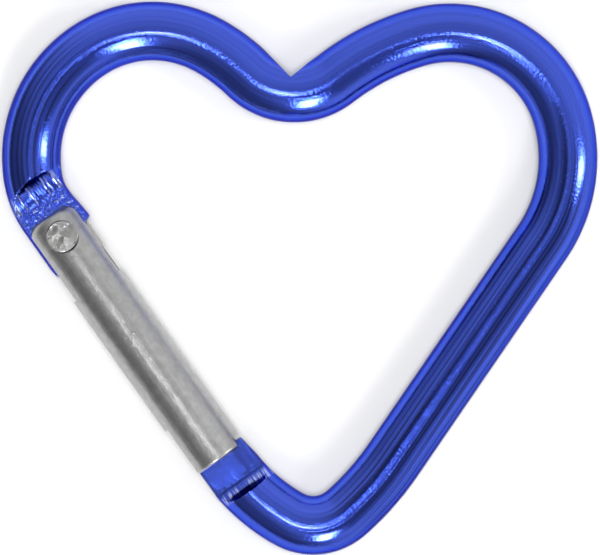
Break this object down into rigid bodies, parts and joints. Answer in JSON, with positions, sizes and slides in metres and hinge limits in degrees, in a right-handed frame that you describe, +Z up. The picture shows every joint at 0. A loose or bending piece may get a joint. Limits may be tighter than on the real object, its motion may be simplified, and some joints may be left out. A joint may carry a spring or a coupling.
{
  "type": "carabiner",
  "caption": "Heart-shaped carabiner keyring: a bent round bar with a sprung tube gate across its straight side.",
  "frame": {"origin": "centre of the outline, on the plane the carabiner lies on", "axes": "+Y from the heart's tip to its cleft, +X across the heart away from the gate's hinge, +Z up out of the heart's plane"},
  "size_m": [0.0496, 0.0461, 0.0049],
  "materials": {
    "body": "bright blue anodised",
    "gate": "plain tumbled satin",
    "rivet": "peened bright",
    "plunger": "turned",
    "spring": "drawn wire"
  },
  "bodies": {
    "body": {"body": "body"},
    "gate": {"gate": "gate", "rivet": "rivet", "spring": "spring"},
    "plunger": {"plunger": "plunger"}
  },
  "joints": [
    {"name": "gate_hinge", "type": "hinge", "parent": "body", "child": "gate", "pos_m": [-0.01969, 0.00337, 0.00245], "axis": [0, 0, 1], "range_deg": [0, 35], "stiffness_Nm_per_rad": 0.02, "springref_deg": -28.65},
    {"name": "plunger_slide", "type": "slide", "parent": "gate", "child": "plunger", "axis": [0.5779, -0.8161, 0], "range_m": [0, 0.0016], "deforming": ["spring"]}
  ],
  "couplings": [
    {"joint": "plunger_slide", "follows": "gate_hinge", "m_per_rad": 0.0025}
  ]
}
